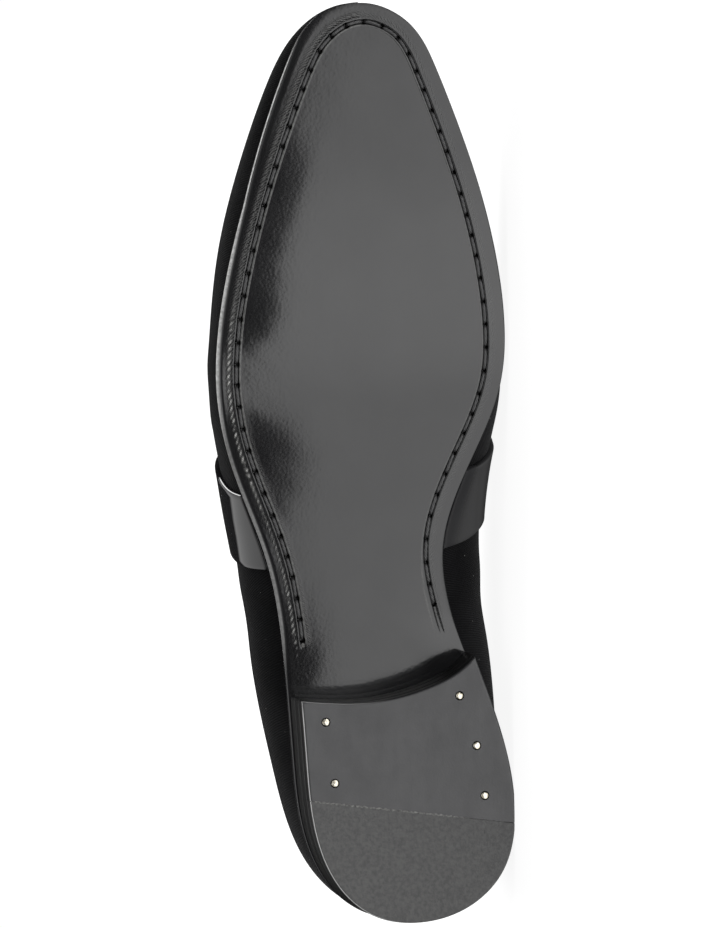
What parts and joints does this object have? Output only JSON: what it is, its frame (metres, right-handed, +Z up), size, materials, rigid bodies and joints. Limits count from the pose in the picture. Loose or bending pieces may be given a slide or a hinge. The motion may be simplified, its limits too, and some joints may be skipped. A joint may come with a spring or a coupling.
{
  "type": "velvet loafer",
  "caption": "Right velvet slip-on loafer with a patent instep strap, glossy stitched leather sole and stacked heel, lying on its inner side.",
  "frame": {"origin": "centre of the box's underside, on the floor that the shoe lies on", "axes": "+X from the heel to the toe, -Y the way the sole faces, +Z up, with the shoe's outer side uppermost"},
  "size_m": [0.2996, 0.106, 0.0966],
  "materials": {
    "velvet": "black cotton velvet, short pile, bound at the topline",
    "patent": "black patent leather, mirror gloss",
    "sole_leather": "dark grey painted sole leather, polished",
    "insole_leather": "black leather sock, soft sheen",
    "heel_leather": "inked stacked leather, polished",
    "heel_rubber": "matt black rubber with a fine mottled grain",
    "brass": "polished nail ends"
  },
  "bodies": {
    "root": {"upper": "velvet", "strap": "patent", "outsole": "sole_leather", "insole": "insole_leather", "heel_lift_1": "heel_leather", "heel_lift_2": "heel_leather", "heel_top_piece": "heel_leather", "heel_rubber_tip": "heel_rubber", "nail_1": "brass", "nail_2": "brass", "nail_3": "brass", "nail_4": "brass", "nail_5": "brass"}
  },
  "joints": []
}
